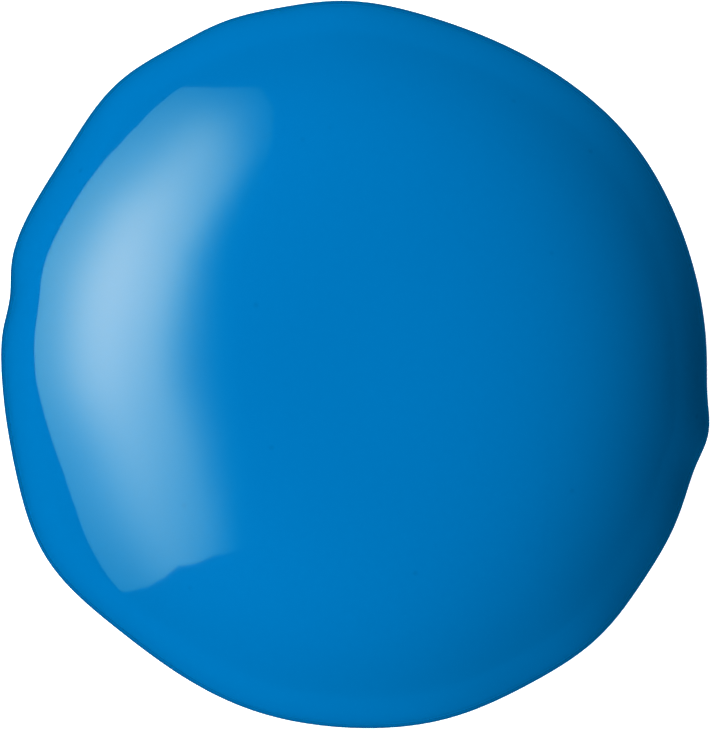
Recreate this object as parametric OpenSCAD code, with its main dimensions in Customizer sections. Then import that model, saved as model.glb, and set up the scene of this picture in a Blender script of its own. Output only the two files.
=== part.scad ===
// Paint dollop: one round squeeze of artists' paint, skinned over, with a soft core and a flat underside.
// The crown points up +Z. The origin is the middle of the underside, and the support is the plane z = 0.

/* [Dollop] */
// Radius at the widest level, before the lobes are added
edge_r = 13.4; // [10:0.2:18]
// Height of the crown above the support
crown_z = 6.8; // [5:0.1:9]
// How flat the top is: at 2 the dome is half an ellipse, and higher values are flatter
crown_shape = 2.8; // [2:0.1:4]
// Height of the widest level, where the rolled edge stands out furthest
bulge_z = 1.2; // [0.8:0.1:2]
// How far the foot is tucked in under the rolled edge
undercut = 0.5; // [0.1:0.05:0.8]
// How strongly the edge is lobed: 0 is a plain round edge, 1 is the natural one
lobe_share = 1; // [0:0.1:1.4]
// How soon the lobes die away above the edge, narrow lobes sooner than broad ones
lobe_fade = 60; // [30:5:120]

/* [Layers] */
// Thickness of the dried skin at the crown
skin_t = 0.35; // [0.2:0.05:0.8]
// Thickness of the dried skin at the edge, which dries first
edge_t = 0.8; // [0.4:0.1:1.4]
// Thickness of the film that dried against the support
film_t = 0.25; // [0.15:0.05:0.4]

/* [Fineness] */
// Spokes round the dollop
spokes = 96; // [72:12:108]
// Rings from the widest level to the crown
dome_rings = 18; // [12:1:20]
// Rings from the foot to the widest level
foot_rings = 4; // [3:1:5]

/* [Hidden] */

// Lobes of the edge, as [direction in degrees from +X, swell, half-width in degrees].
// A negative swell is a nick, where two tongues of paint closed on each other.
LOBES = [
    [ 40,  0.15, 16],
    [ 94,  0.45, 15],
    [111,  0.35,  9],
    [129,  0.60, 13],
    [161,  0.30, 14],
    [169, -0.25,  5],
    [212,  0.45, 13],
    [256,  0.30, 18],
    [285,  0.50, 19],
    [312,  0.45, 13],
    [332,  0.20, 10],
    [349,  0.30,  5],
];

// The foot meets the film this many degrees round under the rolled edge
foot_turn = 50;

// Rise of each ring: -foot_turn at the foot, 0 at the widest level, and 90 would be the crown itself
RISES = concat(
    [for (k = [0 : foot_rings - 1]) -foot_turn * (1 - k / foot_rings)],
    [for (k = [0 : dome_rings - 1]) 90 * k / dome_rings]
);
// Directions of the spokes
TURNS = [for (k = [0 : spokes - 1]) 360 * k / spokes];

function sum(values) = values * [for (v = values) 1];

// Angle from one direction to another, from -180 to 180 degrees
function between(from, to) = (to - from + 540) % 360 - 180;

// What the lobes add to the edge in a direction. They die away towards the crown.
function lobes_at(turn, rise) = lobe_share * sum([for (l = LOBES)
    l[1] * exp(-pow(between(l[0], turn) / l[2], 2)) * pow(cos(rise), lobe_fade / l[2])]);

// Distance of a wall from the crown's axis. inset is how far the wall lies inside the outer surface.
function reach(turn, rise, inset) = rise < 0
    ? reach(turn, 0, inset) - undercut * (1 - cos(rise)) / (1 - cos(foot_turn))
    : (edge_r + lobes_at(turn, rise) - inset) * pow(cos(rise), 2 / crown_shape);

// Height of a wall whose crown is at top: a dome above the widest level, and a turned-in foot below
function level(rise, top) = rise < 0
    ? bulge_z + (bulge_z - film_t) * sin(rise) / sin(foot_turn)
    : bulge_z + (top - bulge_z) * sin(rise);

// The widest ring, and the middle of its box, which puts the origin under the middle of the dollop
edge = [for (t = TURNS) reach(t, 0, 0) * [cos(t), sin(t)]];
middle = [for (k = [0, 1]) (min([for (p = edge) p[k]]) + max([for (p = edge) p[k]])) / 2];

// Flat position of one point of a wall
function plan(turn, rise, inset) = reach(turn, rise, inset) * [cos(turn), sin(turn)] - middle;

// All points of a wall, ring by ring from the foot up, with the crown last
function wall(inset, top) = concat(
    [for (rise = RISES, turn = TURNS)
        let (p = plan(turn, rise, inset)) [p.x, p.y, level(rise, top)]],
    [[-middle.x, -middle.y, top]]
);

// Triangles of a wall whose points start at index first, facing outwards
function wall_faces(first) = let (rings = len(RISES), crown = first + rings * spokes) concat(
    [for (r = [0 : rings - 2], s = [0 : spokes - 1], half = [0, 1])
        let (
            a = first + r * spokes + s,
            b = first + r * spokes + (s + 1) % spokes,
            c = b + spokes,
            d = a + spokes
        )
        half == 0 ? [a, c, b] : [a, d, c]],
    [for (s = [0 : spokes - 1])
        let (a = first + (rings - 1) * spokes + s, b = first + (rings - 1) * spokes + (s + 1) % spokes)
        [a, crown, b]]
);

function flipped(faces) = [for (f = faces) [f[2], f[1], f[0]]];

outer = wall(0, crown_z);
inner = wall(edge_t, crown_z - skin_t);

// Dried skin: an open-bottomed shell between the outer and the inner wall, closed by a flat rim on the film
module paint_skin() {
    inside = len(outer);
    rim = [for (s = [0 : spokes - 1], half = [0, 1])
        let (a = s, b = (s + 1) % spokes)
        half == 0 ? [a, b, inside + b] : [a, inside + b, inside + a]];
    color([0, 0.46, 0.75])
        polyhedron(concat(outer, inner), concat(wall_faces(0), flipped(wall_faces(inside)), rim));
}

// Soft paint: fills the skin down to the film
module paint_core() {
    base = len(inner);
    floor_faces = [for (s = [0 : spokes - 1]) [s, (s + 1) % spokes, base]];
    color([0.05, 0.52, 0.8])
        polyhedron(
            concat(inner, [[-middle.x, -middle.y, film_t]]),
            concat(wall_faces(0), floor_faces)
        );
}

// Film against the support: the whole footprint of the dollop
module contact_film() {
    color([0, 0.4, 0.68])
        linear_extrude(height = film_t)
            polygon([for (turn = TURNS) plan(turn, -foot_turn, 0)]);
}

paint_skin();
paint_core();
contact_film();
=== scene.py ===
"""Looks for the paint dollop: a glossy skin over soft paint, on the thin film that dried against the support.

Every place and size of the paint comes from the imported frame. The walls are read back from the CAD skin's
rings and spokes, and drawn again smoothly and finely enough for a mirror-like surface.
"""

import logging
import math
from dataclasses import dataclass, field
from enum import Enum

import bmesh
import bpy
import numpy as np
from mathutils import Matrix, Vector
from mathutils.kdtree import KDTree


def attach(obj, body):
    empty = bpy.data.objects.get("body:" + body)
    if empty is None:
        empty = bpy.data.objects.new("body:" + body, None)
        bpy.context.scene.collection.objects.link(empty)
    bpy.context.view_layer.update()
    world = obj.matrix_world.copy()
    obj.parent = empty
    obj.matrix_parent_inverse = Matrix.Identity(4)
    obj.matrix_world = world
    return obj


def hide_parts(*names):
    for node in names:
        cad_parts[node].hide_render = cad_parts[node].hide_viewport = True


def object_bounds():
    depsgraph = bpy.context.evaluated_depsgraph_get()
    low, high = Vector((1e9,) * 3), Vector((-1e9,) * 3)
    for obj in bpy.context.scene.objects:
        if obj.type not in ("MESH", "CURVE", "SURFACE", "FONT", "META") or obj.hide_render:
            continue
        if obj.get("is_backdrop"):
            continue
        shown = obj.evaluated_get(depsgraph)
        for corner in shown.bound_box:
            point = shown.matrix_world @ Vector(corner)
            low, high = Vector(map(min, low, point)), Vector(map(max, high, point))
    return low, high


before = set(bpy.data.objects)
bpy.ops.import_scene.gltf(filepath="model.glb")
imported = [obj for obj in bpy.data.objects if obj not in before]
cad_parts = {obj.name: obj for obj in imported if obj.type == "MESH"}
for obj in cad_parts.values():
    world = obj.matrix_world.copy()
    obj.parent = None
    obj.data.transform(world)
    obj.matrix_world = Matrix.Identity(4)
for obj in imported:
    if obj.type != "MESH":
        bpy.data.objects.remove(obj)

log = logging.getLogger("paint_dollop")

# One millimetre, in metres
MM = 0.001
# The one body that every piece rides on
ROOT = "root"
# Refractive index of the clear acrylic that binds the pigment
BINDER_IOR = 1.5
BLACK = (0.0, 0.0, 0.0, 1.0)
WHITE = (1.0, 1.0, 1.0, 1.0)


class Layer(Enum):
    """The dollop's layers, by the name that the CAD node and the material slot share."""

    SKIN = "paint_skin"
    CORE = "paint_core"
    FILM = "contact_film"


# ---------------------------------------------------------------------------------------------------------
# Reading the walls back from the frame
# ---------------------------------------------------------------------------------------------------------


def corners_of(node: str) -> np.ndarray:
    """Read the corners of a CAD node, each one once.

    Args:
        node: Name of the CAD node.

    Returns:
        One row of three coordinates, in metres, for each corner.
    """
    merge_distance = 0.002 * MM
    # The CAD mesh is loose triangles, so the merging is done on a copy of it.
    merged = bmesh.new()
    merged.from_mesh(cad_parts[node].data)
    bmesh.ops.remove_doubles(merged, verts=merged.verts, dist=merge_distance)
    corners = np.array([corner.co[:] for corner in merged.verts])
    merged.free()
    return corners


def shared_with(corners: np.ndarray, others: np.ndarray) -> np.ndarray:
    """Mark the corners that another node has too.

    Args:
        corners: Corners to mark, one row each.
        others: Corners of the other node.

    Returns:
        One truth value for each of the corners.
    """
    same_place = 0.005 * MM
    tree = KDTree(len(others))
    for index, corner in enumerate(others):
        tree.insert(corner, index)
    tree.balance()
    return np.array([tree.find(corner)[2] < same_place for corner in corners])


def spline(knots: np.ndarray, values: np.ndarray, wanted: np.ndarray) -> np.ndarray:
    """Read a natural cubic spline.

    Args:
        knots: Increasing places along the spline.
        values: One row of values for each knot.
        wanted: Places to read.

    Returns:
        One row of values for each wanted place.
    """
    step = np.diff(knots)
    slope = np.diff(values, axis=0) / step[:, None]
    matrix = np.diag(2 * (step[:-1] + step[1:])) + np.diag(step[1:-1], 1) + np.diag(step[1:-1], -1)
    bend = np.zeros_like(values)
    bend[1:-1] = np.linalg.solve(matrix, 6 * np.diff(slope, axis=0))
    at = np.clip(np.searchsorted(knots, wanted, side="right") - 1, 0, len(step) - 1)
    along = (wanted - knots[at])[:, None]
    width = step[at][:, None]
    tilt = slope[at] - width * (2 * bend[at] + bend[at + 1]) / 6
    straight = values[at] + along * tilt
    curved = along**2 * bend[at] / 2 + along**3 * (bend[at + 1] - bend[at]) / (6 * width)
    return straight + curved


class Wall:
    """One wall of the dollop: rings of corners from the foot to the crown, all on the same spokes.

    Attributes:
        rings: Array of rings by spokes by three coordinates, the foot first.
        crown: The single corner on top.
    """

    def __init__(self, corners: np.ndarray) -> None:
        """Sort a wall's corners into rings and spokes.

        Args:
            corners: All corners of the wall, in any order.
        """
        level_gap = 0.005 * MM
        ordered = corners[np.argsort(corners[:, 2])]
        breaks = np.nonzero(np.diff(ordered[:, 2]) > level_gap)[0] + 1
        levels = np.split(ordered, breaks)
        self.crown = levels[-1][0]
        self.rings = np.array([self._by_spoke(level) for level in levels[:-1]])

    def _by_spoke(self, level: np.ndarray) -> np.ndarray:
        """Sort one ring's corners by their direction from the crown's axis.

        Args:
            level: Corners of one ring.

        Returns:
            The same corners, anticlockwise from +X.
        """
        out = level - self.crown
        turn = np.arctan2(out[:, 1], out[:, 0]) % math.tau
        spoke = np.rint(turn * len(level) / math.tau).astype(int) % len(level)
        return level[np.argsort(spoke)]

    def smooth(self, rings: int, spokes: int) -> np.ndarray:
        """Draw the wall again with more rings and spokes, on smooth curves through the CAD's corners.

        Args:
            rings: Rings from the foot to just below the crown.
            spokes: Corners in each ring.

        Returns:
            Array of rings by spokes by three coordinates, the foot first.
        """
        coarse = self.rings.shape[1]
        # Each spoke runs on over the crown and some way down the far side, so that the crown has no kink.
        rings_beyond = 4
        beyond = np.roll(self.rings[: -1 - rings_beyond : -1], coarse // 2, axis=1)
        column = np.concatenate([self.rings, np.broadcast_to(self.crown, (1, coarse, 3)), beyond])
        chords = np.linalg.norm(np.diff(column, axis=0), axis=2).mean(axis=1)
        knots = np.concatenate([[0.0], np.cumsum(chords)])
        wanted = np.linspace(0.0, knots[len(self.rings)], rings + 1)[:-1]
        fine = spline(knots, column.reshape(len(column), -1), wanted).reshape(rings, coarse, 3)
        # Round each ring, the coarse corners are read as a sum of waves and drawn again at more spokes.
        waves = np.fft.rfft(fine, axis=1)
        return np.fft.irfft(waves, spokes, axis=1) * (spokes / coarse)


def turned_solid(
    name: str,
    start: np.ndarray,
    loops: list[np.ndarray],
    end: np.ndarray,
) -> bpy.types.Object:
    """Make a closed mesh from loops that follow each other between two poles.

    Args:
        name: Name of the object.
        start: Pole before the first loop.
        loops: Loops of corners, all with the same number, anticlockwise seen from above.
        end: Pole after the last loop.

    Returns:
        The new object, smooth shaded and linked to the scene.
    """
    spokes = len(loops[0])
    corners = np.concatenate([[start], *loops, [end]])
    last = len(corners) - 1
    last_loop = last - spokes
    steps = [(here, (here + 1) % spokes) for here in range(spokes)]
    faces = [(0, 1 + beside, 1 + here) for here, beside in steps]
    for loop in range(1, last_loop, spokes):
        above = loop + spokes
        faces += [(loop + here, loop + beside, above + beside, above + here) for here, beside in steps]
    faces += [(last_loop + here, last_loop + beside, last) for here, beside in steps]
    mesh = bpy.data.meshes.new(name)
    mesh.from_pydata(corners.tolist(), [], faces)
    mesh.shade_smooth()
    made = bpy.data.objects.new(name, mesh)
    bpy.context.scene.collection.objects.link(made)
    return made


def store_on_corners(piece: bpy.types.Object, name: str, values: np.ndarray) -> None:
    """Store one number on each corner of a mesh, for geometry nodes and materials to read.

    Args:
        piece: Object whose mesh takes the numbers.
        name: Name of the attribute.
        values: One number for each corner.
    """
    attribute = piece.data.attributes.new(name, "FLOAT", "POINT")
    attribute.data.foreach_set("value", values.astype(np.float32))


# ---------------------------------------------------------------------------------------------------------
# Helpers for node trees
# ---------------------------------------------------------------------------------------------------------


class Tree:
    """A node tree under construction, with short calls for adding and joining nodes."""

    def __init__(self, tree: bpy.types.NodeTree) -> None:
        """Take over an existing node tree.

        Args:
            tree: Tree to build in.
        """
        self.tree = tree

    def add(
        self,
        kind: str,
        inputs: dict[str | int, object] | None = None,
        **settings: object,
    ) -> bpy.types.Node:
        """Add a node.

        Args:
            kind: Blender's identifier of the node type.
            inputs: Input socket, by name or number, to a plain value or to the output that feeds it.
            settings: Node properties to set first.

        Returns:
            The new node.
        """
        node = self.tree.nodes.new(kind)
        for name, value in settings.items():
            setattr(node, name, value)
        for socket, value in (inputs or {}).items():
            self.feed(node.inputs[socket], value)
        return node

    def feed(self, socket: bpy.types.NodeSocket, value: object) -> None:
        """Give an input socket its value, by a link if the value is another node's output.

        Args:
            socket: Input socket.
            value: Plain value or output socket.
        """
        if isinstance(value, bpy.types.NodeSocket):
            self.tree.links.new(value, socket)
        else:
            socket.default_value = value

    def math(self, operation: str, *values: object) -> bpy.types.NodeSocket:
        """Add a Math node.

        Args:
            operation: Blender's name of the operation.
            values: Plain numbers or outputs, in the node's order.

        Returns:
            The result.
        """
        return self.add("ShaderNodeMath", dict(enumerate(values)), operation=operation).outputs[0]

    def mix_colours(self, share: object, first: object, second: object) -> bpy.types.NodeSocket:
        """Add a Mix node for two colours.

        Args:
            share: Share of the second colour, from 0 to 1.
            first: Colour, or the output that gives it.
            second: Colour, or the output that gives it.

        Returns:
            The mixed colour.
        """
        node = self.add("ShaderNodeMix", {"Factor": share}, data_type="RGBA")
        sockets = {socket.identifier: socket for socket in (*node.inputs, *node.outputs)}
        self.feed(sockets["A_Color"], first)
        self.feed(sockets["B_Color"], second)
        return sockets["Result_Color"]

    def random_number(self, lowest: float, highest: float, seed: object) -> bpy.types.NodeSocket:
        """Add a Random Value node for plain numbers.

        Args:
            lowest: Lowest number.
            highest: Highest number.
            seed: Whole number, or the output that gives it.

        Returns:
            The random number.
        """
        node = self.add("FunctionNodeRandomValue", {"Seed": seed}, data_type="FLOAT")
        sockets = {socket.identifier: socket for socket in (*node.inputs, *node.outputs)}
        self.feed(sockets["Min_001"], lowest)
        self.feed(sockets["Max_001"], highest)
        return sockets["Value_001"]


def new_socket(
    tree: bpy.types.NodeTree,
    name: str,
    kind: str,
    default: object = None,
    out: bool = False,
) -> None:
    """Add a named socket to a node group.

    Args:
        tree: The node group.
        name: Name of the socket.
        kind: Float, Color, Int, Geometry or Material.
        default: Value when nothing is linked.
        out: True for an output.
    """
    side = "OUTPUT" if out else "INPUT"
    socket = tree.interface.new_socket(name, in_out=side, socket_type=f"NodeSocket{kind}")
    if default is not None:
        socket.default_value = default


# ---------------------------------------------------------------------------------------------------------
# Shader groups that several finishes share
# ---------------------------------------------------------------------------------------------------------


def paint_colour_group() -> bpy.types.NodeTree:
    """Build the group for the colour of paint: unevenly stirred pigment, with painted shade towards the
    dome's foot and in the pinholes.

    It reads the mesh attribute "dryness" for the share of painted shade towards the foot. A mesh without that
    attribute gets none.

    Returns:
        Group with inputs Tone A, Tone B, Patch Size, Drift, Dry Shade, Pits and Pit Shade, and output Color.
    """
    group = bpy.data.node_groups.new("Paint colour", "ShaderNodeTree")
    new_socket(group, "Tone A", "Color", WHITE)
    new_socket(group, "Tone B", "Color", WHITE)
    for name, default in (
        ("Patch Size", 4 * MM),
        ("Drift", 0.5),
        ("Painted Foot Shade", 0.0),
        ("Pits", 0.0),
        ("Painted Pit Shade", 0.0),
    ):
        new_socket(group, name, "Float", default)
    new_socket(group, "Color", "Color", out=True)
    nodes = Tree(group)
    given = nodes.add("NodeGroupInput").outputs
    place = nodes.add("ShaderNodeTexCoord").outputs["Object"]
    scale = nodes.math("DIVIDE", 1.0, given["Patch Size"])
    streaks = {"Vector": place, "Scale": scale, "Detail": 3.0, "Distortion": 0.8}
    noise = nodes.add("ShaderNodeTexNoise", streaks).outputs[0]
    share = nodes.math("MULTIPLY", noise, given["Drift"])
    stirred = nodes.mix_colours(share, given["Tone A"], given["Tone B"])
    # Painted shade: the colour darkens towards the dome's foot, by the share stored on the mesh.
    foot_shade_share = nodes.add("ShaderNodeAttribute", attribute_name="foot_shade_share").outputs["Fac"]
    painted_foot_shade = nodes.math("MULTIPLY", foot_shade_share, given["Painted Foot Shade"])
    # Painted shade in the pinholes darkens it further.
    shade = nodes.math("MULTIPLY_ADD", given["Pits"], given["Painted Pit Shade"], painted_foot_shade)
    nodes.add("NodeGroupOutput", {"Color": nodes.mix_colours(shade, stirred, BLACK)})
    return group


def surface_grain_group() -> bpy.types.NodeTree:
    """Build the group for the fine relief of drying paint: soft orange peel, pinholes and grain.

    Returns:
        Group with inputs Peel Size, Peel, Grain Size, Grain, Pinhole Spacing, Pinhole Size and Pinhole, and
        the outputs Height, in metres, Pinhole Mask and Haze.
    """
    group = bpy.data.node_groups.new("Surface grain", "ShaderNodeTree")
    for name, default in (
        ("Peel Size", 1.5 * MM),
        ("Peel", 0.0),
        ("Grain Size", 0.1 * MM),
        ("Grain", 0.0),
        ("Pinhole Spacing", 4 * MM),
        ("Pinhole Size", 0.1 * MM),
        ("Pinhole", 0.0),
    ):
        new_socket(group, name, "Float", default)
    for name in ("Height", "Pinhole Mask", "Haze"):
        new_socket(group, name, "Float", out=True)
    nodes = Tree(group)
    given = nodes.add("NodeGroupInput").outputs
    place = nodes.add("ShaderNodeTexCoord").outputs["Object"]

    peel_scale = nodes.math("DIVIDE", 1.0, given["Peel Size"])
    peel_waves = {"Vector": place, "Scale": peel_scale, "Detail": 1.0}
    peel = nodes.add("ShaderNodeTexNoise", peel_waves).outputs[0]
    grain_scale = nodes.math("DIVIDE", 1.0, given["Grain Size"])
    grain_waves = {"Vector": place, "Scale": grain_scale, "Detail": 2.0}
    grain = nodes.add("ShaderNodeTexNoise", grain_waves).outputs[0]
    cell_scale = nodes.math("DIVIDE", 1.0, given["Pinhole Spacing"])
    cells = nodes.add("ShaderNodeTexVoronoi", {"Vector": place, "Scale": cell_scale, "Randomness": 1.0})
    distance = nodes.math("MULTIPLY", cells.outputs["Distance"], given["Pinhole Spacing"])
    # The mask is 1 in the middle of a pinhole and 0 from its rim outwards.
    mask = nodes.add(
        "ShaderNodeMapRange",
        {"Value": distance, "From Min": given["Pinhole Size"], "From Max": 0.0},
        interpolation_type="SMOOTHSTEP",
    ).outputs[0]
    grain_height = nodes.math("MULTIPLY", grain, given["Grain"])
    raised = nodes.math("MULTIPLY_ADD", peel, given["Peel"], grain_height)
    height = nodes.math("SUBTRACT", raised, nodes.math("MULTIPLY", mask, given["Pinhole"]))
    nodes.add("NodeGroupOutput", {"Height": height, "Pinhole Mask": mask, "Haze": grain})
    return group


# ---------------------------------------------------------------------------------------------------------
# Finishes
# ---------------------------------------------------------------------------------------------------------


@dataclass(frozen=True)
class Finish:
    """A paint finish: two tones of pigment, a gloss, and relief too fine for the mesh.

    Attributes:
        name: Name of the material.
        tone: Main colour, linear red, green and blue.
        deep_tone: Colour that the pigment drifts towards.
        patch: Size of the drifting patches.
        drift: How far the colour drifts, from 0 to 1.
        painted_foot_shade: Painted shade: how much darker the paint is towards the dome's foot, from 0 to 1.
        painted_pit_shade: Painted shade in the pinholes: how much darker the bottom of a pinhole is, from 0
            to 1.
        roughness: Roughness of the surface between pinholes.
        haze: How much the grain raises the roughness.
        pocket_gloss: How much lower the roughness is inside a pocket of trapped air.
        coat: Share of clear binder on top, from 0 to 1.
        coat_roughness: Roughness of that binder.
        peel: Size and height of the soft orange peel.
        grain: Size and height of the fine grain.
        pinholes: Spacing, size and depth of burst bubbles.
    """

    name: str
    tone: tuple[float, float, float]
    deep_tone: tuple[float, float, float]
    patch: float = 5 * MM
    drift: float = 0.4
    painted_foot_shade: float = 0.0
    painted_pit_shade: float = 0.0
    roughness: float = 0.1
    haze: float = 0.05
    pocket_gloss: float = 0.0
    coat: float = 0.0
    coat_roughness: float = 0.04
    peel: tuple[float, float] = (0.4 * MM, 0.0008 * MM)
    grain: tuple[float, float] = (0.12 * MM, 0.0001 * MM)
    pinholes: tuple[float, float, float] = (2.2 * MM, 0.16 * MM, 0.0012 * MM)

    def build(
        self,
        colour_group: bpy.types.NodeTree,
        grain_group: bpy.types.NodeTree,
    ) -> bpy.types.Material:
        """Make the material.

        Args:
            colour_group: The shared group for the paint's colour.
            grain_group: The shared group for surface grain.

        Returns:
            The material, with its nodes linked.
        """
        material = bpy.data.materials.new(self.name)
        material.use_nodes = True
        nodes = Tree(material.node_tree)
        shader = material.node_tree.nodes["Principled BSDF"]
        relief_values = {
            "Peel Size": self.peel[0],
            "Peel": self.peel[1],
            "Grain Size": self.grain[0],
            "Grain": self.grain[1],
            "Pinhole Spacing": self.pinholes[0],
            "Pinhole Size": self.pinholes[1],
            "Pinhole": self.pinholes[2],
        }
        relief = nodes.add("ShaderNodeGroup", relief_values, node_tree=grain_group)
        colour_values = {
            "Tone A": (*self.tone, 1.0),
            "Tone B": (*self.deep_tone, 1.0),
            "Patch Size": self.patch,
            "Drift": self.drift,
            "Painted Foot Shade": self.painted_foot_shade,
            "Pits": relief.outputs["Pinhole Mask"],
            "Painted Pit Shade": self.painted_pit_shade,
        }
        colour = nodes.add("ShaderNodeGroup", colour_values, node_tree=colour_group)
        bump = nodes.add("ShaderNodeBump", {"Height": relief.outputs["Height"], "Distance": 1.0})
        hazy = nodes.math("MULTIPLY_ADD", relief.outputs["Haze"], self.haze, self.roughness)
        pocket = nodes.add("ShaderNodeAttribute", attribute_name="pocket").outputs["Fac"]
        roughness = nodes.math("MULTIPLY_ADD", pocket, -self.pocket_gloss, hazy)
        nodes.feed(shader.inputs["Base Color"], colour.outputs["Color"])
        nodes.feed(shader.inputs["Roughness"], roughness)
        nodes.feed(shader.inputs["Normal"], bump.outputs["Normal"])
        nodes.feed(shader.inputs["Coat Normal"], bump.outputs["Normal"])
        shader.inputs["IOR"].default_value = BINDER_IOR
        shader.inputs["Coat Weight"].default_value = self.coat
        shader.inputs["Coat Roughness"].default_value = self.coat_roughness
        shader.inputs["Coat IOR"].default_value = BINDER_IOR
        return material


SKIN_FINISH = Finish(
    "glossy paint skin",
    (0.0, 0.183, 0.516),
    (0.0, 0.176, 0.503),
    # Painted shade towards the dome's foot
    painted_foot_shade=0.16,
    # Painted shade in the pinholes
    painted_pit_shade=0.12,
    roughness=0.06,
    haze=0.03,
    coat=1.0,
    coat_roughness=0.025,
)
CORE_FINISH = Finish("soft wet paint", (0.0, 0.2, 0.56), (0.0, 0.17, 0.5), roughness=0.18, coat=0.4)
FILM_FINISH = Finish(
    "satin dried film",
    (0.0, 0.15, 0.44),
    (0.0, 0.12, 0.37),
    roughness=0.38,
    haze=0.15,
    pocket_gloss=0.2,
)


# ---------------------------------------------------------------------------------------------------------
# Geometry nodes
# ---------------------------------------------------------------------------------------------------------


def relief_tree() -> bpy.types.NodeTree:
    """Build the tree that gives a wall its levelling waves and sinks trapped-air pockets into it.

    The corners move only where the attribute "relief" is above 0. The pockets' mask stays on the mesh as the
    attribute "pocket", for the material to read.

    Returns:
        Tree with inputs Wave Height, Wave Length, Pocket Density, Pocket Radius, Pocket Depth, Seed and
        Finish.
    """
    # Radius of the smallest pocket, and of a pocket's flat floor, as shares of the full radius
    smallest_pocket = 0.25
    pocket_floor = 0.6
    tree = bpy.data.node_groups.new("Relief", "GeometryNodeTree")
    new_socket(tree, "Geometry", "Geometry")
    for name in ("Wave Height", "Wave Length", "Pocket Density", "Pocket Radius", "Pocket Depth"):
        new_socket(tree, name, "Float", 1 * MM)
    new_socket(tree, "Seed", "Int", 1)
    new_socket(tree, "Finish", "Material")
    new_socket(tree, "Geometry", "Geometry", out=True)
    nodes = Tree(tree)
    given = nodes.add("NodeGroupInput").outputs
    share = nodes.add("GeometryNodeInputNamedAttribute", {"Name": "relief"}, data_type="FLOAT").outputs[0]
    place = nodes.add("GeometryNodeInputPosition").outputs[0]
    normal = nodes.add("GeometryNodeInputNormal").outputs[0]

    density = nodes.math("MULTIPLY", given["Pocket Density"], share)
    points = nodes.add(
        "GeometryNodeDistributePointsOnFaces",
        {"Mesh": given["Geometry"], "Density": density, "Seed": given["Seed"]},
    ).outputs["Points"]
    nearest = nodes.add("GeometryNodeSampleNearest", {"Geometry": points}, domain="POINT").outputs[0]
    size = nodes.random_number(smallest_pocket, 1.0, given["Seed"])
    nearest_size = {"Geometry": points, "Value": size, "Index": nearest}
    sampled = nodes.add("GeometryNodeSampleIndex", nearest_size, data_type="FLOAT").outputs[0]
    radius = nodes.math("MULTIPLY", given["Pocket Radius"], sampled)
    floor_radius = nodes.math("MULTIPLY", radius, pocket_floor)
    distance = nodes.add("GeometryNodeProximity", {0: points}, target_element="POINTS").outputs["Distance"]
    pocket = nodes.add(
        "ShaderNodeMapRange",
        {"Value": distance, "From Min": radius, "From Max": floor_radius},
        interpolation_type="SMOOTHSTEP",
    ).outputs[0]

    wave_scale = nodes.math("DIVIDE", 1.0, given["Wave Length"])
    swells = {"Vector": place, "Scale": wave_scale, "Detail": 0.0}
    noise = nodes.add("ShaderNodeTexNoise", swells).outputs[0]
    wave = nodes.math("MULTIPLY", nodes.math("SUBTRACT", noise, 0.5), given["Wave Height"])
    lift = nodes.math("SUBTRACT", wave, nodes.math("MULTIPLY", pocket, given["Pocket Depth"]))
    shift = nodes.add(
        "ShaderNodeVectorMath",
        {0: normal, "Scale": nodes.math("MULTIPLY", lift, share)},
        operation="SCALE",
    ).outputs[0]

    mark = {"Geometry": given["Geometry"], "Name": "pocket", "Value": nodes.math("MULTIPLY", pocket, share)}
    marked = nodes.add("GeometryNodeStoreNamedAttribute", mark, data_type="FLOAT", domain="POINT")
    moved = nodes.add("GeometryNodeSetPosition", {"Geometry": marked.outputs[0], "Offset": shift})
    real = nodes.add("GeometryNodeRealizeInstances", {"Geometry": moved.outputs[0]})
    dressing = {"Geometry": real.outputs[0], "Material": given["Finish"]}
    dressed = nodes.add("GeometryNodeSetMaterial", dressing)
    nodes.add("NodeGroupOutput", {"Geometry": dressed.outputs[0]})
    return tree


def run_tree(
    piece: bpy.types.Object,
    tree: bpy.types.NodeTree,
    values: dict[str, object],
) -> bpy.types.Object:
    """Run a geometry nodes tree on a piece and keep the result as its plain mesh.

    Args:
        piece: Object that the tree works on.
        tree: The tree.
        values: Input name to its value. Inputs that aren't named keep their defaults.

    Returns:
        The same object, with the resulting mesh and no modifier.
    """
    modifier = piece.modifiers.new(tree.name, "NODES")
    modifier.node_group = tree
    sockets = tree.interface.items_tree
    identifiers = {socket.name: socket.identifier for socket in sockets if socket.in_out == "INPUT"}
    for name, value in values.items():
        modifier[identifiers[name]] = value
    graph = bpy.context.evaluated_depsgraph_get()
    mesh = bpy.data.meshes.new_from_object(piece.evaluated_get(graph), depsgraph=graph)
    piece.modifiers.remove(modifier)
    piece.data = mesh
    mesh.name = piece.name
    return piece


# ---------------------------------------------------------------------------------------------------------
# The dollop
# ---------------------------------------------------------------------------------------------------------


@dataclass
class Walls:
    """The dollop's outer and inner wall, from the frame.

    Attributes:
        spokes: Corners in each ring of the finished meshes.
        outer: Wall that is seen.
        inner: Wall between the skin and the soft core.
    """

    spokes: int = 400
    outer: Wall = field(init=False)
    inner: Wall = field(init=False)

    def __post_init__(self) -> None:
        """Part the skin's corners into those that it shares with the core and those that it doesn't."""
        skin = corners_of(Layer.SKIN.value)
        inside = shared_with(skin, corners_of(Layer.CORE.value))
        self.outer = Wall(skin[~inside])
        self.inner = Wall(skin[inside])


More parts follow.
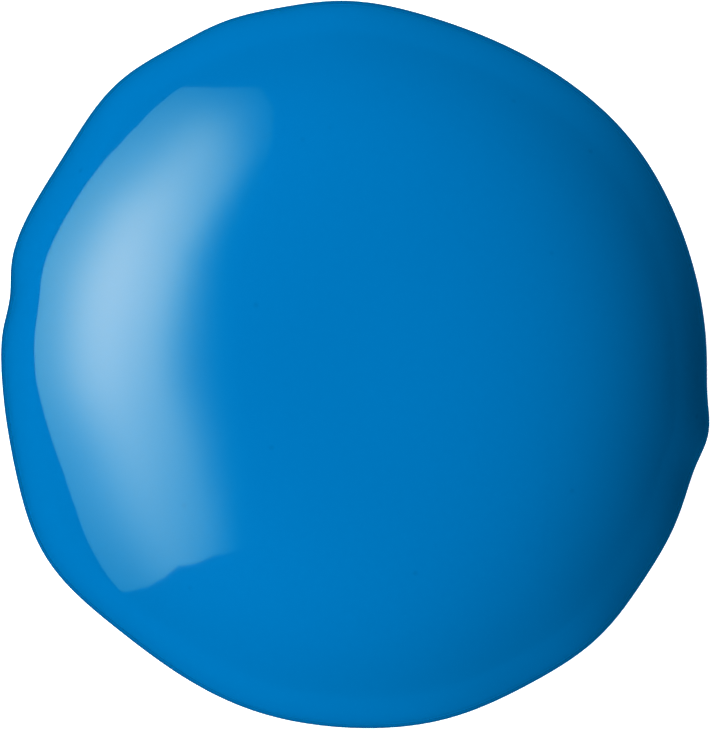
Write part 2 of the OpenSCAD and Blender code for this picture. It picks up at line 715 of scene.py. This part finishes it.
@dataclass
class PaintSkin:
    """The dried skin: a closed shell between the two walls, with levelling waves on the outside.

    Attributes:
        walls: The dollop's walls.
        outer_rings: Rings of the outer wall.
        inner_rings: Rings of the inner wall.
        wave_height: Height of the waves that the paint levelled into.
        wave_length: Distance from one wave to the next.
        still_foot: Height over which the waves die out above the foot.
        unshaded_above: Share of the crown's height above which the skin has no painted shade.
        full_shade_below: Share of the crown's height below which the painted shade towards the foot is full.
    """

    walls: Walls
    outer_rings: int = 170
    inner_rings: int = 36
    wave_height: float = 0.008 * MM
    wave_length: float = 5 * MM
    still_foot: float = 0.6 * MM
    unshaded_above: float = 0.94
    full_shade_below: float = 0.59

    def build(self, tree: bpy.types.NodeTree, finish: bpy.types.Material) -> bpy.types.Object:
        """Make the skin's mesh and dress it.

        Args:
            tree: The relief tree.
            finish: Material of the skin.

        Returns:
            The finished piece.
        """
        outer = self.walls.outer.smooth(self.outer_rings, self.walls.spokes)
        inner = self.walls.inner.smooth(self.inner_rings, self.walls.spokes)
        loops = [*inner[::-1], *outer]
        piece = turned_solid("paint_skin_shell", self.walls.inner.crown, loops, self.walls.outer.crown)
        height = np.array([corner.co.z for corner in piece.data.vertices])
        share = np.clip((height - outer[0, 0, 2]) / self.still_foot, 0.0, 1.0)
        # The inner wall, whose corners come first, keeps its shape.
        inner_corners = 1 + self.inner_rings * self.walls.spokes
        share[:inner_corners] = 0.0
        store_on_corners(piece, "relief", share)
        # Painted shade: the share of darkening grows from high on the dome down towards its foot.
        up = height / self.walls.outer.crown[2]
        foot_shade = np.clip((self.unshaded_above - up) / (self.unshaded_above - self.full_shade_below), 0.0, 1.0)
        store_on_corners(piece, "foot_shade_share", foot_shade**2 * (3 - 2 * foot_shade))
        values = {
            "Wave Height": self.wave_height,
            "Wave Length": self.wave_length,
            "Pocket Density": 0.0,
            "Finish": finish,
        }
        return run_tree(piece, tree, values)


@dataclass
class PaintCore:
    """The soft paint that the skin closes over.

    Attributes:
        walls: The dollop's walls.
        spokes: Corners in each ring.
        rings: Rings of the domed wall.
        base_rings: Rings of the flat base.
    """

    walls: Walls
    spokes: int = 200
    rings: int = 60
    base_rings: int = 10

    def build(self, tree: bpy.types.NodeTree, finish: bpy.types.Material) -> bpy.types.Object:
        """Make the core's mesh and dress it.

        Args:
            tree: The relief tree.
            finish: Material of the core.

        Returns:
            The finished piece.
        """
        dome = self.walls.inner.smooth(self.rings, self.spokes)
        centre = np.array([*self.walls.inner.crown[:2], dome[0, 0, 2]])
        shares = np.arange(1, self.base_rings) / self.base_rings
        base = [centre + share * (dome[0] - centre) for share in shares]
        piece = turned_solid("paint_core_mass", centre, [*base, *dome], self.walls.inner.crown)
        store_on_corners(piece, "relief", np.zeros(len(piece.data.vertices)))
        return run_tree(piece, tree, {"Pocket Density": 0.0, "Finish": finish})


@dataclass
class ContactFilm:
    """The film that dried against the support, with pockets of trapped air on its underside.

    Attributes:
        walls: The dollop's walls.
        base_rings: Rings of the underside.
        corner: Radius of the film's lower edge.
        corner_turns: Steps round that edge, in degrees: 0 faces down and 90 faces outwards.
        pocket_density: Pockets for each square metre of underside.
        pocket_radius: Radius of the largest pocket.
        pocket_depth: Depth of a pocket.
        flat_rim: Width of the rim that stays flat all round.
        seed: Seed of the pockets' places and sizes.
    """

    walls: Walls
    base_rings: int = 120
    corner: float = 0.08 * MM
    corner_turns: tuple[int, ...] = (0, 30, 60, 90)
    pocket_density: float = 60_000.0
    pocket_radius: float = 1.1 * MM
    pocket_depth: float = 0.09 * MM
    flat_rim: float = 1.2 * MM
    seed: int = 4

    def build(self, tree: bpy.types.NodeTree, finish: bpy.types.Material) -> bpy.types.Object:
        """Make the film's mesh and dress it.

        Args:
            tree: The relief tree.
            finish: Material of the film.

        Returns:
            The finished piece.
        """
        foot = self.walls.outer.smooth(1, self.walls.spokes)[0]
        axis = np.array([*self.walls.outer.crown[:2], 0.0])
        reach = np.linalg.norm((foot - axis)[:, :2], axis=1)
        out = (foot - axis) * [1.0, 1.0, 0.0] / reach[:, None]
        top = foot[0, 2]
        rounded = []
        for turn in np.radians(self.corner_turns):
            inset = self.corner * (1 - math.sin(turn))
            rise = self.corner * (1 - math.cos(turn))
            rounded.append(axis + out * (reach - inset)[:, None] + [0.0, 0.0, rise])
        shares = np.arange(1, self.base_rings) / self.base_rings
        base = [axis + out * (share * (reach - self.corner))[:, None] for share in shares]
        piece = turned_solid("contact_film_sheet", axis, [*base, *rounded, foot], axis + [0.0, 0.0, top])
        corners = np.array([corner.co[:] for corner in piece.data.vertices])
        from_axis = np.linalg.norm((corners - axis)[:, :2], axis=1)
        inwards = (reach.min() - self.flat_rim - from_axis) / self.flat_rim
        underside = corners[:, 2] < self.corner / 2
        share = np.where(underside, np.clip(inwards, 0.0, 1.0), 0.0)
        store_on_corners(piece, "relief", share)
        values = {
            "Wave Height": 0.0,
            "Pocket Density": self.pocket_density,
            "Pocket Radius": self.pocket_radius,
            "Pocket Depth": self.pocket_depth,
            "Seed": self.seed,
            "Finish": finish,
        }
        return run_tree(piece, tree, values)


# ---------------------------------------------------------------------------------------------------------
# The studio
# ---------------------------------------------------------------------------------------------------------


# A curve as a short list of (place, value) pairs
Curve = tuple[tuple[float, float], ...]


def direction(azimuth: float, elevation: float) -> Vector:
    """Turn two angles into a direction.

    Args:
        azimuth: Degrees round from +X.
        elevation: Degrees up from the horizon.

    Returns:
        Unit vector that points that way.
    """
    flat = math.cos(math.radians(elevation))
    turn = math.radians(azimuth)
    return Vector((flat * math.cos(turn), flat * math.sin(turn), math.sin(math.radians(elevation))))


def read_curve(points: Curve, wanted: np.ndarray) -> np.ndarray:
    """Read a curve smoothly at the wanted places."""
    places, values = zip(*points)
    return spline(np.array(places), np.array(values, dtype=float)[:, None], wanted)[:, 0]


@dataclass
class Softbox:
    """A curved panel of light beside the dollop. Its mirror image is the crescent on the skin.

    Azimuths and elevations are in degrees, and heights on the panel are shares, 0 at the lower edge and 1 at
    the upper.

    Attributes:
        distance: Distance of the panel from the dollop.
        start_edge: Height to the azimuth where the panel starts.
        end_edge: Height to the azimuth where it ends.
        lower_edge: Azimuth to the elevation of the lower edge, which has two steps cut into it.
        upper_edge: Azimuth to the elevation of the upper edge.
        glow_round: Azimuth to share of the full glow.
        glow_up: Height to share of the full glow.
        radiance: Brightness of the full glow.
        red: Red of the full glow, where green is 1.
        red_fade: How soon the red falls with the glow: the power of the glow that it follows.
        blue: Blue of the glow, where green is 1.
        cells: Cells of the panel's mesh, each way.
    """

    distance: float = 0.6
    start_edge: Curve = (
        (0.0, 120), (0.12, 118), (0.22, 116), (0.31, 113), (0.4, 109), (0.62, 108), (0.8, 110), (1.0, 117),
    )
    end_edge: Curve = (
        (0.0, 227), (0.33, 228.5), (0.53, 229), (0.63, 231.5), (0.72, 233), (0.8, 236), (0.88, 239),
        (1.0, 240),
    )
    lower_edge: Curve = (
        (108, 8), (120, 8), (126, 10.5), (134, 12), (141, 9.5), (147, 2.5), (158, 3), (171, 1), (183, 2.5),
        (190, 8), (198, 14), (205, 15), (213, 12), (220, 7.5), (225, 2), (228, -1), (240, -1),
    )
    upper_edge: Curve = (
        (108, 59), (119, 64.5), (127, 68.5), (136, 71.5), (151, 76.5), (166, 79), (181, 80), (195, 80),
        (210, 79), (225, 75.5), (240, 66),
    )
    glow_round: Curve = (
        (108, 0.05), (112, 0.13), (116, 0.25), (120, 0.42), (126, 0.575), (135, 0.71), (145, 0.885),
        (155, 0.985), (164, 1.0), (174, 0.95), (184, 0.855), (194, 0.71), (203, 0.615), (215, 0.5),
        (225, 0.4), (231, 0.3), (236, 0.14), (240, 0.04),
    )
    glow_up: Curve = (
        (0.0, 0.36), (0.15, 0.47), (0.25, 0.57), (0.36, 0.745), (0.47, 0.93), (0.57, 1.0), (0.68, 0.9),
        (0.79, 0.66), (0.87, 0.31), (0.94, 0.08), (1.0, 0.0),
    )
    radiance: float = 4.37
    red: float = 0.88
    red_fade: float = 0.62
    blue: float = 0.57
    cells: int = 90

    def build(self) -> bpy.types.Object:
        """Make the panel and its glow.

        Returns:
            The panel, marked as part of the stage.
        """
        corners = []
        glow = []
        heights = np.linspace(0.0, 1.0, self.cells + 1)
        starts = np.interp(heights, *zip(*self.start_edge))
        ends = np.interp(heights, *zip(*self.end_edge))
        for height, start, end, share_up in zip(heights, starts, ends, read_curve(self.glow_up, heights)):
            azimuths = np.linspace(start, end, self.cells + 1)
            low = np.interp(azimuths, *zip(*self.lower_edge))
            high = np.interp(azimuths, *zip(*self.upper_edge))
            elevations = low + height * (high - low)
            corners += [direction(*angles) * self.distance for angles in zip(azimuths, elevations)]
            glow += list(share_up * read_curve(self.glow_round, azimuths))
        # Each corner starts one cell, except the last corner of a row.
        row = self.cells + 1
        starts_cell = [corner for corner in range(self.cells * row) if (corner + 1) % row]
        faces = [(corner, corner + row, corner + row + 1, corner + 1) for corner in starts_cell]
        mesh = bpy.data.meshes.new("softbox")
        mesh.from_pydata(corners, [], faces)
        panel = bpy.data.objects.new("softbox", mesh)
        bpy.context.scene.collection.objects.link(panel)
        store_on_corners(panel, "glow", np.clip(glow, 0.0, 1.0))
        panel.data.materials.append(self._glow_material())
        # The panel is there for the gloss alone: it isn't seen, doesn't light the paint and doesn't shade it.
        panel.visible_camera = False
        panel.visible_diffuse = False
        panel.visible_shadow = False
        panel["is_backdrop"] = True
        return panel

    def _glow_material(self) -> bpy.types.Material:
        """Make the panel's light, which follows the glow stored on its corners.

        Returns:
            The emissive material.
        """
        material = bpy.data.materials.new("softbox glow")
        material.use_nodes = True
        material.node_tree.nodes.clear()
        nodes = Tree(material.node_tree)
        glow = nodes.add("ShaderNodeAttribute", attribute_name="glow").outputs["Fac"]
        strength = nodes.math("MULTIPLY", glow, self.radiance)
        red = nodes.math("MULTIPLY", nodes.math("POWER", glow, self.red_fade), self.red)
        tint = {"Red": red, "Green": 1.0, "Blue": self.blue}
        colour = nodes.add("ShaderNodeCombineColor", tint).outputs[0]
        light = nodes.add("ShaderNodeEmission", {"Color": colour, "Strength": strength})
        nodes.add("ShaderNodeOutputMaterial", {"Surface": light.outputs[0]})
        return material


@dataclass
class Fill:
    """A broad soft light with no highlight of its own.

    Attributes:
        name: Name of the light.
        azimuth: Direction it comes from, in degrees from +X.
        elevation: Height it comes from, in degrees.
        strength: Brightness.
        size: Angle that it covers, in degrees.
        shadow: False for light that comes through the floor.
    """

    name: str
    azimuth: float
    elevation: float
    strength: float
    size: float = 60.0
    shadow: bool = True

    def build(self) -> bpy.types.Object:
        """Make the light.

        Returns:
            The light object.
        """
        data = bpy.data.lights.new(self.name, "SUN")
        data.energy = self.strength
        data.angle = math.radians(self.size)
        data.use_shadow = self.shadow
        # The gloss doesn't look for this lamp, so it gets no second highlight.
        data.cycles.use_multiple_importance_sampling = False
        lamp = bpy.data.objects.new(self.name, data)
        lamp.rotation_euler = direction(self.azimuth, self.elevation).to_track_quat("Z", "Y").to_euler()
        lamp.visible_glossy = False
        bpy.context.scene.collection.objects.link(lamp)
        return lamp


@dataclass
class Studio:
    """The pale floor, the lights and the camera straight above.

    Attributes:
        softbox: The panel that the skin mirrors.
        fills: The broad lights: on the softbox's side, at its two ends, and up from the floor.
        floor_reach: Distance from the dollop to the floor's edge.
        floor_drop: Gap under the dollop, which keeps the floor off the plane of its underside.
        floor_tone: Grey of the floor's surface.
        floor_glow: Light of the floor itself, which keeps it pale under the dollop's shadow.
        floor_mirrored: Colour of the floor in the skin's reflection, linear red, green and blue.
        camera_height: Height of the camera.
        sensor: Height of the camera's sensor, in millimetres.
        margin: Width of the picture for each unit of the dollop's width.
        frame_shape: Width of the picture for each unit of its height.
    """

    softbox: Softbox = field(default_factory=Softbox)
    fills: tuple[Fill, ...] = (
        Fill("upper_back", 120.0, 40.0, 0.95),
        Fill("upper_front", 210.0, 40.0, 1.35),
        Fill("low_back_left", 120.0, 10.0, 2.3),
        Fill("low_front_left", 240.0, 10.0, 2.55),
        Fill("low_back", 90.0, 10.0, 2.15),
        Fill("low_front", 270.0, 10.0, 1.9),
        Fill("floor_bounce", 180.0, -65.0, 1.6, shadow=False),
    )
    floor_reach: float = 3.0
    floor_drop: float = 0.02 * MM
    floor_tone: float = 0.9
    floor_glow: float = 1.0
    floor_mirrored: tuple[float, float, float] = (0.0, 0.07, 0.19)
    camera_height: float = 0.3
    sensor: float = 36.0
    margin: float = 1.0076
    frame_shape: float = 0.974

    def build(self, box: tuple[Vector, Vector]) -> None:
        """Make the whole studio round the dollop.

        Args:
            box: Lowest and highest corner of the dollop.
        """
        self._floor()
        self.softbox.build()
        for fill in self.fills:
            fill.build()
        self._world()
        self._camera(box)
        bpy.context.scene.view_settings.view_transform = "Standard"

    def _floor(self) -> None:
        """Make the pale floor: one square sheet."""
        reach = self.floor_reach
        sides = ((-reach, -reach), (reach, -reach), (reach, reach), (-reach, reach))
        corners = [(x, y, -self.floor_drop) for x, y in sides]
        mesh = bpy.data.meshes.new("floor")
        mesh.from_pydata(corners, [], [(0, 1, 2, 3)])
        mesh.materials.append(self._floor_material())
        floor = bpy.data.objects.new("floor", mesh)
        # The fills already hold the light that a pale floor throws back.
        floor.visible_diffuse = False
        bpy.context.scene.collection.objects.link(floor)
        floor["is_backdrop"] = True

    def _floor_material(self) -> bpy.types.Material:
        """Make the floor's surface: pale from above, tinted in the skin's gloss, and clear from below.

        Returns:
            The floor's material.
        """
        material = bpy.data.materials.new("floor")
        material.use_nodes = True
        # The floor's own light is only for the camera, so it isn't used as a lamp.
        material.cycles.emission_sampling = "NONE"
        nodes = Tree(material.node_tree)
        shader = material.node_tree.nodes["Principled BSDF"]
        shader.inputs["Base Color"].default_value = (*[self.floor_tone] * 3, 1.0)
        shader.inputs["Specular IOR Level"].default_value = 0.0
        shader.inputs["Emission Color"].default_value = WHITE
        shader.inputs["Emission Strength"].default_value = self.floor_glow
        mirrored = nodes.add("ShaderNodeEmission", {"Color": (*self.floor_mirrored, 1.0), "Strength": 1.0})
        in_gloss = nodes.add("ShaderNodeLightPath").outputs["Is Glossy Ray"]
        from_above = {0: in_gloss, 1: shader.outputs[0], 2: mirrored.outputs[0]}
        mixed = nodes.add("ShaderNodeMixShader", from_above)
        clear = nodes.add("ShaderNodeBsdfTransparent")
        from_below = nodes.add("ShaderNodeNewGeometry").outputs["Backfacing"]
        layers = {0: from_below, 1: mixed.outputs[0], 2: clear.outputs[0]}
        one_sided = nodes.add("ShaderNodeMixShader", layers)
        nodes.feed(material.node_tree.nodes["Material Output"].inputs["Surface"], one_sided.outputs[0])
        return material

    def _world(self) -> None:
        """Make the surroundings: pale where the camera sees them, dark in the skin's reflections."""
        world = bpy.data.worlds.new("studio")
        world.use_nodes = True
        world.node_tree.nodes.clear()
        nodes = Tree(world.node_tree)
        pale = nodes.add("ShaderNodeBackground", {"Color": WHITE})
        dark = nodes.add("ShaderNodeBackground", {"Color": BLACK})
        seen = nodes.add("ShaderNodeLightPath").outputs["Is Camera Ray"]
        mixed = nodes.add("ShaderNodeMixShader", {0: seen, 1: dark.outputs[0], 2: pale.outputs[0]})
        nodes.add("ShaderNodeOutputWorld", {"Surface": mixed.outputs[0]})
        bpy.context.scene.world = world

    def _camera(self, box: tuple[Vector, Vector]) -> None:
        """Make the camera: straight above, with the dollop filling the frame.

        Args:
            box: Lowest and highest corner of the dollop.
        """
        low, high = box
        width = (high.x - low.x) * self.margin
        frame_height = width / self.frame_shape
        data = bpy.data.cameras.new("camera")
        data.sensor_fit = "VERTICAL"
        data.sensor_height = self.sensor
        data.lens = self.sensor * self.camera_height / frame_height
        camera = bpy.data.objects.new("camera", data)
        camera.location = ((low.x + high.x) / 2, (low.y + high.y) / 2, self.camera_height)
        bpy.context.scene.collection.objects.link(camera)
        bpy.context.scene.camera = camera


# ---------------------------------------------------------------------------------------------------------
# Main
# ---------------------------------------------------------------------------------------------------------


def main() -> None:
    """Build the dollop's pieces and the studio, and report each one."""
    logging.basicConfig(level=logging.INFO, format="%(name)s: %(message)s")
    cad_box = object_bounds()
    colour = paint_colour_group()
    grain = surface_grain_group()
    relief = relief_tree()
    walls = Walls()
    for layer, builder, finish in (
        (Layer.SKIN, PaintSkin(walls), SKIN_FINISH),
        (Layer.CORE, PaintCore(walls), CORE_FINISH),
        (Layer.FILM, ContactFilm(walls), FILM_FINISH),
    ):
        piece = builder.build(relief, finish.build(colour, grain))
        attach(piece, ROOT)
        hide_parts(layer.value)
        log.info("%s: %d corners, %d faces", piece.name, len(piece.data.vertices), len(piece.data.polygons))
    Studio().build(cad_box)


if __name__ == "__main__":
    main()
